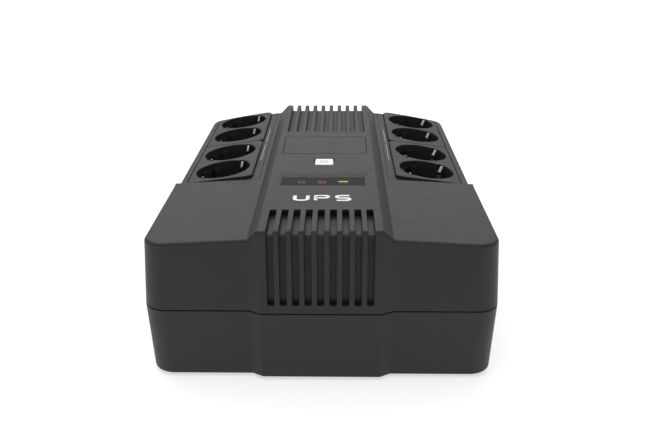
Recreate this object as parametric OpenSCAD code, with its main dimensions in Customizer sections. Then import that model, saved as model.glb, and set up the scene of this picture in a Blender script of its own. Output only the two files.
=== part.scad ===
// Line-interactive uninterruptible power supply in a flat desktop case.
// Frame: X across the case, Y from the front nose (-Y) to the connector side (+Y), Z up from the floor.
// The origin is on the floor under the middle of the case's length and width.

/* [Case] */
// Overall length, nose to rear
case_l = 304.4; // [304.4]
// Overall width at the seam
case_w = 210.4; // [210.4]
// Overall height with feet
case_h = 99.9; // [99.9]
// Height of the rubber feet under the base
foot_h = 2; // [1.5:0.5:3]
// Height of the seam between cover and base
seam_z = 48.2; // [47.5:0.1:49]
// Open gap at the seam
seam_gap = 0.6; // [0.4:0.1:0.8]
// Wall thickness of both case halves
wall = 2.5; // [2.4:0.1:2.6]
// Plan radius of the front corners
front_r = 14; // [13:0.5:15]
// Plan radius of the rear corners
rear_r = 11; // [10:0.5:12]
// Plan radius of the gently curved rear face
rear_bow_r = 160; // [150:5:180]
// Nose: how far the middle of the front stands out
nose_out = 3.95; // [3.8:0.05:4.1]

/* [Top] */
// Half width of the spine's flat top
spine_top = 35.3; // [35:0.1:35.6]
// Half width of the spine at its foot
spine_foot = 41.8; // [41.8]
// Drop from the spine's top to its foot
spine_drop = 7.05; // [6.9:0.05:7.2]
// Outward fall of the front wings, degrees
wing_fall = 3.2; // [3:0.1:3.4]
// Outward fall of the socket decks, degrees
deck_fall = 4.84; // [4.84]
// Y of the step between front wings and socket decks
step_y = -38.5; // [-38.5]
// Half width of the socket deck's top edge
deck_edge = 100.3; // [100.3]
// Outer half width of the deck panels
deck_out = 95.9; // [95.9]
// Inner half width of the deck panels
deck_in = 44.9; // [44.9]

/* [Sockets] */
// Distance of the socket centres from the middle plane
socket_x = 73.4; // [73.4]
// Height of the socket face at its centre line
socket_z = 91.5; // [91.5]
// Outward tilt of the socket faces, degrees
socket_tilt = 7.48; // [7.48]
// Radius of the plug recess
recess_r = 19.5; // [19.5]
// Depth of the plug recess
recess_d = 17.5; // [17:0.1:17.5]
// Distance between the two pin holes
pin_pitch = 19; // [18.9:0.05:19.1]
// Radius of a pin hole
pin_hole_r = 2.6; // [2.5:0.05:2.7]
// Angle of the earth clips from +X, degrees
clip_turn = 45; // [44:1:46]

/* [Vents] */
// Vent slots in each set
slot_n = 9; // [9]
// Distance between vent slots
slot_pitch = 7.2; // [7:0.1:7.3]
// Width of a vent slot
slot_w = 4; // [3.6:0.1:4.2]
// Depth of a vent groove to its baffle
groove_d = 4.1; // [3.9:0.1:4.2]

/* [Front panel] */
// Width of the power button
button_w = 13; // [12:0.5:13.5]
// Length of the power button
button_l = 14.3; // [13.5:0.1:14.3]
// Half width of the display window
window_hw = 27.5; // [26:0.5:28]

/* [Battery] */
// Battery length across the case
battery_w = 151; // [143:1:151]
// Battery depth along the case
battery_l = 94; // [88:1:94]
// Battery height as it lies
battery_h = 65; // [60:1:65]

/* [Hidden] */
$fn = 48;

far = 400;
eps = 0.02;
fit = 0.25;
arc_n = 8;
base_z = foot_h;
floor_z = base_z + wall;
cover_z = seam_z + seam_gap / 2;
tray_z = seam_z - seam_gap / 2;
foot_z = case_h - spine_drop;
spine_k = (spine_foot - spine_top) / spine_drop;
left = -1;
right = 1;

// Half width, front face and rear face of the two case halves at three heights.
seam_dims = [case_w / 2, -case_l / 2 + nose_out, case_l / 2];
top_dims = [case_w / 2 - 2.53, -case_l / 2 + nose_out + 1.32, case_l / 2 - 0.93];
bottom_dims = [case_w / 2 - 1.2, -case_l / 2 + nose_out + 5.7, case_l / 2 - 1.2];

// Colours.
charcoal = "#3c3c3e";
dark = "#1c1c1e";
copper = "#b87333";
metal = "#c9ccd0";
board_green = "#1f5a35";

// ---------- plan outlines and lofts ----------

function arc(c, r, a0, a1, n) =
  [for (i = [0:n]) let (a = a0 + (a1 - a0) * i / n) [c.x + r * cos(a), c.y + r * sin(a)]];
function mirrored(pts) = [for (i = [len(pts) - 1:-1:0]) [-pts[i].x, pts[i].y]];

// Right half of the case's plan, from the nose to the middle of the rear. dims is [half width,
// main front y, rear y]; inset moves every side inwards.
function half_plan(dims, inset, corner) =
  let (hw = dims[0] - inset, yf = dims[1] + inset, yr = dims[2] - inset,
    shift = 0.294 * inset, fr = front_r - inset, cr = corner - inset,
    bow = rear_bow_r - inset, x0 = spine_foot - 0.4,
    cx = hw - cr, cy = yr - bow + sqrt(pow(bow - cr, 2) - pow(cx - x0, 2)),
    a = atan2(cy - yr + bow, cx - x0))
  concat([[spine_top + 0.3 - shift, yf - nose_out], [spine_foot + 0.2 - shift, yf]],
    arc([hw - fr, yf + fr], fr, -90, 0, arc_n),
    arc([cx, cy], cr, 0, a, arc_n),
    [for (i = [1:5]) let (b = a + (90 - a) * i / 5) [x0 + bow * cos(b), yr - bow + bow * sin(b)]]);
function plan(dims, inset = 0, corner = rear_r) =
  let (h = half_plan(dims, inset, corner)) concat(h, mirrored(h));

// Solid between outline a at height za and outline b at height zb. Both outlines are mirror images
// of themselves across X = 0 and have the same number of points.
module loft(a, za, b, zb) {
  n = len(a);
  points = concat([for (p = a) [p.x, p.y, za]], [for (p = b) [p.x, p.y, zb]]);
  sides = [for (i = [0:n - 1]) let (j = (i + 1) % n) each [[i, n + i, n + j], [i, n + j, j]]];
  // The front face's two ends and the nose's two feet lie on one line, so they share a fan of triangles.
  fan = [[3, n - 4, n - 3], [3, n - 3, n - 2], [3, n - 2, 1], [3, 1, 2]];
  strips = [for (i = concat([0], [for (k = [3:n / 2 - 2]) k])) [i, i + 1, n - 2 - i, n - 1 - i]];
  low = concat(fan, strips);
  caps = concat(low, [for (f = low) [for (k = [len(f) - 1:-1:0]) n + f[k]]]);
  polyhedron(points = points, faces = concat(caps, sides), convexity = 6);
}

// Rounded rectangle from corner a to corner b. r is [near a, +X corner, near b, +Y corner].
function rounded(a, b, r) = concat(
  arc([a.x + r[0], a.y + r[0]], r[0], 180, 270, arc_n),
  arc([b.x - r[1], a.y + r[1]], r[1], 270, 360, arc_n),
  arc([b.x - r[2], b.y - r[2]], r[2], 0, 90, arc_n),
  arc([a.x + r[3], b.y - r[3]], r[3], 90, 180, arc_n));

module prism(pts, z0, z1) translate([0, 0, z0]) linear_extrude(z1 - z0) polygon(pts);
module plate(a, b, z0, z1, r) prism(rounded(a, b, [r, r, r, r]), z0, z1);
module box(a, b) translate(a) cube(b - a);
module along_y(y0, y1) translate([0, y1, 0]) rotate([90, 0, 0]) linear_extrude(y1 - y0) children();
module along_x(x0, x1) translate([x0, 0, 0]) rotate([90, 0, 90]) linear_extrude(x1 - x0) children();
module rod_y(p, r, length) translate(p) rotate([-90, 0, 0]) cylinder(r = r, h = length);

// Children are drawn for the right side, and mirrored for the left one.
module on_side(s) {
  if (s < 0) mirror([1, 0, 0]) children();
  else children();
}
module socket_frame() translate([socket_x, 0, socket_z]) rotate([0, socket_tilt, 0]) children();
module deck_frame() translate([spine_foot, 0, foot_z]) rotate([0, deck_fall, 0]) children();
module deck_slab(low, high) deck_frame() box([-60, -far, low], [120, far, high]);

// ---------- cover ----------

module spine_section(t) {
  low = 60;
  shift = t * sqrt(1 + spine_k * spine_k);
  top_hw = spine_top + t * spine_k - shift;
  low_hw = spine_top + (case_h - low) * spine_k - shift;
  polygon([[-low_hw, low], [low_hw, low], [top_hw, case_h - t], [-top_hw, case_h - t]]);
}
function wing_z(x, fall, t) = foot_z - (x - spine_foot) * tan(fall) - t / cos(fall);
module wing_section(fall, t) {
  w = case_w / 2 + 5;
  polygon([[-w, 0], [w, 0], [w, wing_z(w, fall, t)], [0, wing_z(0, fall, t)], [-w, wing_z(w, fall, t)]]);
}
shoulder_z = 81.5;
// Outer section of the cover: the spine between two falling sides that end at the points in half.
module outer_section(half) {
  crown = [[spine_foot, foot_z], [spine_top, case_h]];
  right_half = concat(half, crown);
  polygon(concat(right_half, mirrored(right_half)));
}
side_x = case_w / 2 + 5;
wing_half = [[side_x, 0], [side_x, wing_z(side_x, wing_fall, 0)]];
deck_half = [[side_x, 0], [side_x, wing_z(side_x, deck_fall, 0)]];

// Outline sizes of the cover at height z, and of its rear half above the shoulder.
function cover_dims(z) = seam_dims + (top_dims - seam_dims) * (z - cover_z) / (case_h - cover_z);
shoulder_k = (cover_dims(shoulder_z)[0] - deck_edge) / (foot_z - tan(deck_fall) * (deck_edge - spine_foot)
  - shoulder_z);
function deck_dims(z) = [cover_dims(shoulder_z)[0] - shoulder_k * (z - shoulder_z),
  cover_dims(z)[1], cover_dims(z)[2]];

module cover_form() union() {
  intersection() {
    loft(plan(seam_dims), cover_z, plan(top_dims), case_h);
    along_y(-far, step_y) outer_section(wing_half);
  }
  intersection() {
    union() {
      loft(plan(seam_dims), cover_z, plan(cover_dims(shoulder_z)), shoulder_z);
      loft(plan(deck_dims(shoulder_z)), shoulder_z - eps, plan(deck_dims(case_h)), case_h);
    }
    along_y(step_y, far) outer_section(deck_half);
  }
}

deck_wall = 4.5;
module cover_cavity() intersection() {
  loft(plan(seam_dims, wall), cover_z - 1, plan(top_dims, wall), case_h);
  union() {
    along_y(-far, step_y - wall) wing_section(wing_fall, wall);
    along_y(-far, far) wing_section(deck_fall, deck_wall);
    along_y(-far, far) spine_section(wall);
  }
}

// Screw posts: [x, y, top of the cover's post].
posts = [[93, -135, 100], [95, -47, 100], [47, 141.5, 80]];
post_r = 4;
module cover_posts() for (s = [left, right], p = posts) on_side(s) {
  translate([p.x, p.y, cover_z]) cylinder(r = post_r, h = p.z - cover_z);
  if (p.y > 0) box([p.x - 1.2, p.y, cover_z + 3], [p.x + 1.2, p.y + 9, p.z]);
}

rib_x = 60;
module cover_ribs() for (s = [left, right]) on_side(s)
  box([rib_x - 1, -130, battery_top + 0.5], [rib_x + 1, -46, 100]);

display_bosses = [[26.5, -78.5], [26.5, -9]];
module display_posts() for (s = [left, right], p = display_bosses) on_side(s)
  translate([p.x, p.y, display_z]) cylinder(r = 3, h = case_h - wall - display_z + 1);

function slot_x(i) = (i - (slot_n - 1) / 2) * slot_pitch;
slot_r = 0.9;
front_slot_y = -116.3;
front_slot_z = 53.8;
rear_slot_y = 60.6;
rear_slot_z = 74;

// One set of wrapped slots: y is the slots' end on the top, z their low end on the face.
module slots(y, z, dir) for (i = [0:slot_n - 1]) translate([slot_x(i), 0, 0]) {
  half = slot_w / 2;
  a = dir < 0 ? [-half, -far] : [-half, y];
  b = dir < 0 ? [half, y] : [half, far];
  plate(a, b, case_h - 8, case_h + 5, slot_r);
  y0 = dir < 0 ? -far : case_l / 2 - 8;
  along_y(y0, y0 + far - case_l / 2 + 8) polygon(rounded([-half, z], [half, case_h + 5],
    [slot_r, slot_r, slot_r, slot_r]));
}

window_y = [-72.2, -53.1];
window_d = 1;
ramp_w = 3.5;
ramp_l = 7.1;
module window_recess() {
  top = case_h + 1;
  low = case_h - window_d;
  half = window_hw;
  grow = ramp_w * 2;
  intersection() {
    along_y(-far, far) polygon([[-half, low], [half, low], [half + grow, top], [-half - grow, top]]);
    along_x(-50, 50) polygon([[window_y[0], low], [window_y[1], low],
      [window_y[1] + 2 * ramp_l, top], [window_y[0], top]]);
  }
  plate([-half, window_y[0]], [half, window_y[1]], case_h - 5, case_h, 0.6);
}

button_y = -19.85;
button_gap = 0.6;
module button_hole() {
  hw = button_w / 2 + button_gap;
  hl = button_l / 2 + button_gap;
  plate([-hw, button_y - hl], [hw, button_y + hl], case_h - 5, case_h + 1, 1.6);
}

panel_hw = 31;
panel_y = [-1.1, 45.2];
module panel_hole() plate([-panel_hw, panel_y[0]], [panel_hw, panel_y[1]], case_h - 5, case_h + 1, 2.5);

deck_y0 = -37.6;
deck_y1 = 149.4;
deck_corner = 8;
ledge = 2;
deck_t = 2.5;
// Plan of a deck insert on the right side, moved outwards by gap on every side.
module deck_prism(x_in, y0, gap) intersection() {
  prism(rounded([x_in - gap, y0 - gap], [120, deck_y1 + gap], [1.5, 0.5, 0.5, 5]), 82, 110);
  prism(plan([deck_out + gap, -140, deck_y1 + gap], 0, deck_corner + gap), 82, 110);
}
module deck_opening() {
  intersection() {
    deck_prism(deck_in, deck_y0, fit);
    deck_slab(-deck_t - 0.05, 30);
  }
  deck_prism(deck_in + ledge, deck_y0 + ledge, fit);
}

module top_cover() color(charcoal) difference() {
  union() {
    difference() {
      cover_form();
      cover_cavity();
    }
    intersection() {
      cover_form();
      union() {
        cover_posts();
        cover_ribs();
        display_posts();
      }
    }
  }
  for (s = [left, right]) on_side(s) {
    deck_opening();
    for (p = posts) translate([p.x, p.y, cover_z - 1]) cylinder(r = 2, h = 12.5);
    for (p = display_bosses) translate([p.x, p.y, display_z - 1]) cylinder(r = 1.1, h = 8);
  }
  slots(front_slot_y, front_slot_z, -1);
  slots(rear_slot_y, rear_slot_z, 1);
  window_recess();
  button_hole();
  panel_hole();
}

// ---------- parts set into the cover ----------

groove_z = case_h - groove_d;
baffle_t = 1.6;
baffle_hw = 33;
function nose_y(z) = -case_l / 2 + 1.32 * (z - seam_z) / (case_h - seam_z);
rail_w = 1.4;
rim_z = case_h - wall - 0.1;
module front_vent_baffle() color(dark) {
  low = 51.5;
  lip = 0.8;
  y0 = nose_y(low) + groove_d;
  y1 = nose_y(groove_z) + groove_d;
  y2 = -114;
  along_x(-baffle_hw, baffle_hw) polygon([[y0, low], [y0 + baffle_t, low],
    [y1 + baffle_t, groove_z - baffle_t], [y2, groove_z - baffle_t], [y2, rim_z], [y2 - 1.8, rim_z],
    [y2 - 1.8, groove_z], [y1 + lip, groove_z], [y1, groove_z - lip]]);
  box([-baffle_hw, nose_y(low) + wall + 0.15, low], [baffle_hw, y0 + eps, front_slot_z - 0.3]);
  for (s = [left, right]) on_side(s) {
    box([baffle_hw - rail_w, -142, groove_z - eps], [baffle_hw, y2, rim_z]);
    rod_y([slot_x(slot_n - 2), y0 - 0.5, front_slot_z + 0.9], 0.8, 1.2);
  }
}

module rear_vent_baffle() color(dark) {
  low = 71;
  lip = 0.8;
  y0 = 58.4;
  y1 = case_l / 2 - 0.9 - groove_d;
  along_x(-baffle_hw, baffle_hw) polygon([[y0, groove_z - baffle_t], [y1 - baffle_t, groove_z - baffle_t],
    [y1 - baffle_t, low], [y1, low], [y1, groove_z - lip], [y1 - lip, groove_z], [y0 + 1.8, groove_z],
    [y0 + 1.8, rim_z], [y0, rim_z]]);
  box([-baffle_hw, y1 - eps, low], [baffle_hw, y1 + 1.4, rear_slot_z - 0.3]);
  for (s = [left, right]) on_side(s)
    box([baffle_hw - rail_w, y0, groove_z - eps], [baffle_hw, 140, rim_z]);
}

flange_z = [case_h - wall - 1.6, case_h - wall - 0.05];
module blanking_panel() color(charcoal) {
  hw = panel_hw - fit;
  plate([-hw, panel_y[0] + fit], [hw, panel_y[1] - fit], flange_z[1] - eps, case_h - 0.05, 2.3);
  plate([-hw - 1.7, panel_y[0] - 1.5], [hw + 1.7, panel_y[1] + 1.5], flange_z[0], flange_z[1], 2);
}

// Indicator bars: [left, right] edges in X.
led_spans = [[-16.8, -11.6], [-3.5, 2.1], [10.1, 16.5]];
led_y = -61.4;
led_l = 1.6;
module led_bar(span, gap, z0, z1)
  box([span[0] - gap, led_y - led_l / 2 - gap, z0], [span[1] + gap, led_y + led_l / 2 + gap, z1]);
module led(i) led_bar(led_spans[i], 0, display_z + 0.05, case_h - window_d);
module led_green() color("#3f9a4a") led(0);
module led_red() color("#c23b3b") led(1);
module led_yellow() color("#d8cf3a") led(2);

module display_window() color("#2b2b2d") difference() {
  union() {
    plate([-window_hw + 0.15, window_y[0] + 0.15], [window_hw - 0.15, window_y[1] - 0.15],
      flange_z[1] - eps, case_h - window_d, 0.5);
    plate([-window_hw - 1.5, window_y[0] - 1.5], [window_hw + 1.5, window_y[1] + 1.5],
      flange_z[0], flange_z[1], 1);
  }
  for (span = led_spans) led_bar(span, 0.05, case_h - 10, case_h);
}

// ---------- power button and its board ----------

display_z = 86.4;
board_t = 1.6;
button_top = case_h - 0.2;
cap_low = 93.5;
stem_low = 91;
module power_button() color("#e9e9ea") {
  hw = button_w / 2;
  hl = button_l / 2;
  plate([-hw, button_y - hl], [hw, button_y + hl], cap_low, button_top, 1.4);
  plate([-hw - 2, button_y - hl - 2], [hw + 2, button_y + hl + 2], 95.6, 97.2, 1.5);
  translate([0, button_y, stem_low]) cylinder(r = 1.5, h = cap_low - stem_low + eps);
}

// Round bar swept along the points, square to the path at every point.
function unit(v) = v / norm(v);
function tangent(p, i) = unit(p[min(i + 1, len(p) - 1)] - p[max(i - 1, 0)]);
function across(t) = unit(cross(t, abs(t.z) < 0.9 ? [0, 0, 1] : [1, 0, 0]));
module swept(p, r, sides = 8) {
  n = len(p);
  ring = [for (i = [0:n - 1]) let (t = tangent(p, i), u = across(t), v = cross(t, u))
    each [for (k = [0:sides - 1]) p[i] + r * (u * cos(360 * k / sides) + v * sin(360 * k / sides))]];
  skin = [for (i = [0:n - 2], k = [0:sides - 1]) let (a = i * sides, j = (k + 1) % sides)
    each [[a + k, a + sides + k, a + sides + j], [a + k, a + sides + j, a + j]]];
  ends = [[for (k = [0:sides - 1]) k], [for (k = [sides - 1:-1:0]) (n - 1) * sides + k]];
  polyhedron(points = ring, faces = concat(ends, skin), convexity = 8);
}

spring_turns = 4;
spring_r = 5.2;
spring_wire = 0.35;
module button_spring() color(metal) {
  low = display_z + spring_wire + 0.1;
  rise = cap_low - spring_wire - 0.1 - low;
  steps = 14 * spring_turns;
  swept([for (i = [0:steps]) let (a = 360 * spring_turns * i / steps)
    [spring_r * cos(a), button_y + spring_r * sin(a), low + rise * i / steps]], spring_wire, 6);
}

module switch_body() color(dark) difference() {
  box([-3, button_y - 3, display_z + 0.05], [3, button_y + 3, 89.9]);
  translate([0, button_y, 86.7]) cylinder(r = 1.8, h = 5);
}
module switch_plunger() color("#b03030") translate([0, button_y, 88.4]) cylinder(r = 1.72, h = 2.55);

module display_board() color(board_green) difference() {
  plate([-30, -83], [30, -5], display_z - board_t, display_z, 1);
  for (s = [left, right], p = display_bosses) on_side(s)
    translate([p.x, p.y, display_z - 3]) cylinder(r = 1.6, h = 5);
}

// ---------- socket decks and modules ----------

module_in = 50.2;
module_out = 95.65;
module_y = [[-35.3, 54.4], [55, 148.6]];
socket_y = [[-11.93, 30.5], [81.3, 123.7]];
cup_r = 21;
notch_w = 8;
notch_r = 20.5;
// Guides and the slot beside them: angle from the clips, width, radius and height under the face.
key_turn = 96;
key = [7, 18.2, -4.5];
stop_turn = 68;
stop = [5, 17.5, -3.8];
guide_low = 0.2 - recess_d;
gap_turn = 80.5;
gap_w = 2.2;
boss_u = 17.3;
function middle_y(row) = (socket_y[row][0] + socket_y[row][1]) / 2;

module module_prism(row, gap) intersection() {
  prism(rounded([module_in - gap, module_y[row][0] - gap], [module_out + gap, module_y[row][1] + gap],
    [4.5, 2, 2, 4.5]), 60, 110);
  prism(plan([module_out + gap, -140, module_y[1][1] + gap], 0, deck_corner), 60, 110);
}

module socket_deck(s) color(charcoal) on_side(s) difference() {
  intersection() {
    deck_prism(deck_in, deck_y0, 0);
    deck_slab(-deck_t, 0);
  }
  for (row = [0, 1]) module_prism(row, fit);
  box([module_in + 3, module_y[0][0], 60], [120, module_y[1][1] - 3, 110]);
  box([module_out - 1, module_y[0][0] - fit, 60], [120, far, 110]);
}
module socket_deck_left() socket_deck(left);
module socket_deck_right() socket_deck(right);

module turned(y, angle) translate([0, y, 0]) rotate([0, 0, angle]) children();

// Fascia with two open recess tubes. The clip direction is the same on both sides of the case.
module socket_module(s, row) color(charcoal) on_side(s) {
  clip_a = s * clip_turn;
  difference() {
    union() {
      intersection() {
        module_prism(row, 0);
        deck_slab(-deck_wall, 20);
        socket_frame() box([-60, -far, -20], [60, far, 0]);
      }
      socket_frame() {
        for (y = socket_y[row]) translate([0, y, -recess_d]) cylinder(r = cup_r, h = recess_d - 3);
        for (u = [-boss_u, boss_u]) translate([u, middle_y(row), -recess_d]) cylinder(r = 3.2, h = recess_d - 3);
      }
    }
    socket_frame() {
      for (y = socket_y[row]) {
        translate([0, y, -recess_d - 1]) cylinder(r = recess_r, h = recess_d + 2, $fn = 96);
        translate([0, y, -0.3]) cylinder(r1 = recess_r, r2 = recess_r + 0.5, h = 0.5, $fn = 96);
        for (a = [0, 180]) {
          turned(y, clip_a + a) box([recess_r - 3, -notch_w / 2, -recess_d - 1], [notch_r, notch_w / 2, 2]);
          turned(y, clip_a + s * gap_turn + a)
            box([recess_r - 3, -gap_w / 2, -recess_d - 1], [notch_r, gap_w / 2, -2.5]);
        }
      }
      for (u = [-boss_u, boss_u]) translate([u, middle_y(row), -recess_d - 1]) cylinder(r = 1.25, h = 9.5);
    }
    socket_frame() translate([-21.9, 0, 0]) rotate([0, 45, 0]) box([-8, -far, -4], [0, far, 4]);
  }
  socket_frame() for (y = socket_y[row], a = [0, 180]) {
    turned(y, clip_a + s * key_turn + a)
      box([key[1], -key[0] / 2, guide_low], [recess_r + 0.3, key[0] / 2, key[2]]);
    turned(y, clip_a + s * stop_turn + a)
      box([stop[1], -stop[0] / 2, guide_low], [recess_r + 0.3, stop[0] / 2, stop[2]]);
  }
}
module socket_left_front() socket_module(left, 0);
module socket_left_rear() socket_module(left, 1);
module socket_right_front() socket_module(right, 0);
module socket_right_rear() socket_module(right, 1);

carrier_top = -recess_d - 0.05;
carrier_t = 3.95;
pin_wall = 2;
module carrier(s, row) color(dark) on_side(s) socket_frame() difference() {
  clip_a = s * clip_turn;
  low = carrier_top - carrier_t;
  r = 20.3;
  plate([-r, socket_y[row][0] - r], [r, socket_y[row][1] + r], low, carrier_top, r - 0.5);
  for (y = socket_y[row], a = [0, 180]) {
    turned(y, clip_a + 90 + a) translate([pin_pitch / 2, 0, low - 1]) {
      cylinder(r = pin_hole_r, h = carrier_t + 2);
      cylinder(r = 4.2, h = carrier_t + 1 - pin_wall);
    }
    turned(y, clip_a + a) box([17.2, -3.3, low - 1], [19.3, 3.3, carrier_top + 1]);
  }
  for (u = [-boss_u, boss_u]) translate([u, middle_y(row), low - 1]) cylinder(r = 1.6, h = carrier_t + 2);
}
module carrier_left_front() carrier(left, 0);
module carrier_left_rear() carrier(left, 1);
module carrier_right_front() carrier(right, 0);
module carrier_right_rear() carrier(right, 1);

all_socket_y = concat(socket_y[0], socket_y[1]);
strap_w = 4;
tip_w = 2.2;
strap_t = 0.6;
strap_z = -22.2;
// One earth clip's side view: radius from the socket's centre and height under its face.
clip_path = [[18, strap_z], [18, -13], [16.3, -7.4], [15.8, -5.6], [16.1, -4]];
tip_path = [[16.1, -4], [17.2, -2], [17.9, -0.3]];
module ribbon(path, width) along_y(-width / 2, width / 2)
  polygon(concat(path, [for (i = [len(path) - 1:-1:0]) path[i] + [strap_t, 0]]));
module earth_strap(s) color(metal) on_side(s) socket_frame() {
  clip_a = s * clip_turn;
  for (y = all_socket_y) {
    turned(y, clip_a) box([-18.5, -strap_w / 2, strap_z], [18.5, strap_w / 2, strap_z + strap_t]);
    for (a = [0, 180]) turned(y, clip_a + a) {
      ribbon(clip_path, strap_w);
      ribbon(tip_path, tip_w);
    }
  }
  box([-2.5, all_socket_y[0], strap_z], [2.5, all_socket_y[3], strap_z + strap_t]);
}
module earth_strap_left() earth_strap(left);
module earth_strap_right() earth_strap(right);

bar_z = -27.6;
// A mains bar: strip and the sleeves that take the plugs' pins.
module mains_bar(s, pole) color(copper) on_side(s) socket_frame() {
  a = s * clip_turn + 90 + pole;
  off = pin_pitch / 2 * [cos(a), sin(a)];
  difference() {
    union() {
      for (y = all_socket_y) translate([off.x, y + off.y, bar_z]) cylinder(r = 3.7, h = 8);
      box([off.x - 2.2, all_socket_y[0] + off.y, bar_z], [off.x + 2.2, all_socket_y[3] + off.y, bar_z + 0.6]);
    }
    for (y = all_socket_y) translate([off.x, y + off.y, bar_z + 0.6]) cylinder(r = 3, h = 9);
  }
}
module live_bar_left() mains_bar(left, 0);
module live_bar_right() mains_bar(right, 0);
module neutral_bar_left() mains_bar(left, 180);
module neutral_bar_right() mains_bar(right, 180);

// ---------- base ----------

battery_y = [-136.4, -136.4 + battery_l];
battery_low = 4.8;
battery_top = battery_low + battery_h;
bay_hw = 78;
bay_y = [-138.6, -37.5];
hinge = [-39.1, 3.25];
hinge_r = 1.25;
feet = [[91, -122], [90, 118]];
ports_z = [8, 44];
ports_hw = 42;
port_y = 149.2;
port_mid_z = 26;
inlet_x = -24;
breaker_x = 5;
line_x = 27.5;
transformer_y = 60;
bracket_x = 50;
bracket_dy = 12;
boss_top = 10;
board_z = 12;
standoffs = [[-95, -20], [-62, -21], [-95, 120], [-62, 121]];

function tray_dims(z) = bottom_dims + (seam_dims - bottom_dims) * (z - base_z) / (tray_z - base_z);
module tray_shell() {
  difference() {
    loft(plan(bottom_dims), base_z, plan(seam_dims), tray_z);
    loft(plan(tray_dims(floor_z), wall), floor_z, plan(tray_dims(tray_z + 4), wall), tray_z + 4);
  }
  lip_ring(wall - 0.9, tray_z - 4, tray_z - 0.3);
  lip_ring(wall + 0.25, tray_z - 2, tray_z + 2.4);
}
// The tongue that stands inside the cover's wall.
module lip_ring(inset, z0, z1) translate([0, 0, z0]) linear_extrude(z1 - z0) difference() {
  polygon(plan(seam_dims, inset));
  polygon(plan(seam_dims, wall + 1.5));
}

module tray_bosses() {
  for (s = [left, right]) on_side(s) {
    for (p = posts) translate([p.x, p.y, floor_z - eps]) cylinder(r = 5.5, h = tray_z - floor_z);
    for (d = [-bracket_dy, bracket_dy]) translate([bracket_x, transformer_y + d, floor_z - eps])
      cylinder(r = 5, h = boss_top - floor_z + eps);
    box([bay_hw, bay_y[0] - 1, floor_z - eps], [bay_hw + 1.8, bay_y[1], 24]);
  }
  for (p = standoffs) translate([p.x, p.y, floor_z - eps]) cylinder(r = 3.5, h = board_z - floor_z);
  box([-40, bay_y[1], floor_z - eps], [40, bay_y[1] + 1.8, 24]);
  box([-ports_hw - 1, port_y - 2.7, floor_z - eps], [ports_hw + 1, port_y + 1, 45.5]);
}

module tray_cuts() {
  for (s = [left, right]) on_side(s) {
    for (p = posts) translate([p.x, p.y, base_z - 1]) {
      cylinder(r = 2.2, h = 60);
      cylinder(r = 4.3, h = 35);
    }
    for (d = [-bracket_dy, bracket_dy]) translate([bracket_x, transformer_y + d, 5.5]) cylinder(r = 1.6, h = 9);
    for (p = feet) translate([p.x, p.y, base_z - 1]) cylinder(r = 7.2, h = 2);
  }
  for (p = standoffs) translate([p.x, p.y, 6.5]) cylinder(r = 1.2, h = 9);
  box([-bay_hw, bay_y[0], 0], [bay_hw, bay_y[1], floor_z + eps]);
  box([-ports_hw, port_y, ports_z[0]], [ports_hw, far, ports_z[1]]);
  box([inlet_x - 13.7, 130, port_mid_z - 10.1], [inlet_x + 13.7, 160, port_mid_z + 10.1]);
  rod_y([breaker_x, 140, port_mid_z], 5.8, 15);
  box([line_x - 8.2, 130, 12.3], [line_x + 8.2, 160, 39.7]);
}

module base_tray() color(charcoal) difference() {
  union() {
    tray_shell();
    tray_bosses();
  }
  tray_cuts();
}

tab_x = 50;
module battery_door() color(charcoal) difference() {
  union() {
    box([-bay_hw + 0.3, bay_y[0] + 0.4, base_z], [bay_hw - 0.3, hinge[0], floor_z]);
    translate([-bay_hw + 0.3, hinge[0], hinge[1]]) rotate([0, 90, 0])
      cylinder(r = hinge_r, h = 2 * bay_hw - 0.6);
    for (s = [left, right]) on_side(s) {
      box([tab_x - 6, hinge[0] - 1.2, floor_z - eps], [tab_x + 6, hinge[0], 6]);
      box([tab_x - 6, hinge[0] - 1.2, floor_z + 0.3], [tab_x + 6, -33, 6]);
    }
    box([-9, bay_y[0] + 0.6, floor_z - eps], [9, battery_y[0] - 0.6, 10]);
  }
  for (i = [0:3]) box([-14, -134 + 3 * i, 0], [14, -132.6 + 3 * i, base_z + 0.8]);
}

module rubber_feet() color("#161616") for (s = [left, right], p = feet) on_side(s) translate(p) {
  cylinder(r1 = 6.2, r2 = 7, h = 0.8);
  translate([0, 0, 0.8]) cylinder(r = 7, h = base_z + 0.2);
}

// ---------- rear connectors ----------

module inlet_body() color(dark) difference() {
  union() {
    plate_y([inlet_x - 15.4, port_mid_z - 12], [inlet_x + 15.4, port_mid_z + 12], port_y, port_y + 2, 1.5);
    plate_y([inlet_x - 13.5, port_mid_z - 9.9], [inlet_x + 13.5, port_mid_z + 9.9], 128, port_y + eps, 1.5);
  }
  plate_y([inlet_x - 12.4, port_mid_z - 8.5], [inlet_x + 12.4, port_mid_z + 8.5], 134.5, far, 2.5);
  for (p = blades) box([p.x - 1.05, 120, p.y - 2.05], [p.x + 1.05, 140, p.y + 2.05]);
}
module plate_y(a, b, y0, y1, r) along_y(y0, y1) polygon(rounded(a, b, [r, r, r, r]));

// Inlet blades: [x, z] of each.
blades = [[inlet_x - 7, port_mid_z + 2], [inlet_x, port_mid_z - 2], [inlet_x + 7, port_mid_z + 2]];
module inlet_pins() color(metal) for (p = blades) box([p.x - 1, 122, p.y - 2], [p.x + 1, 148, p.y + 2]);

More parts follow.
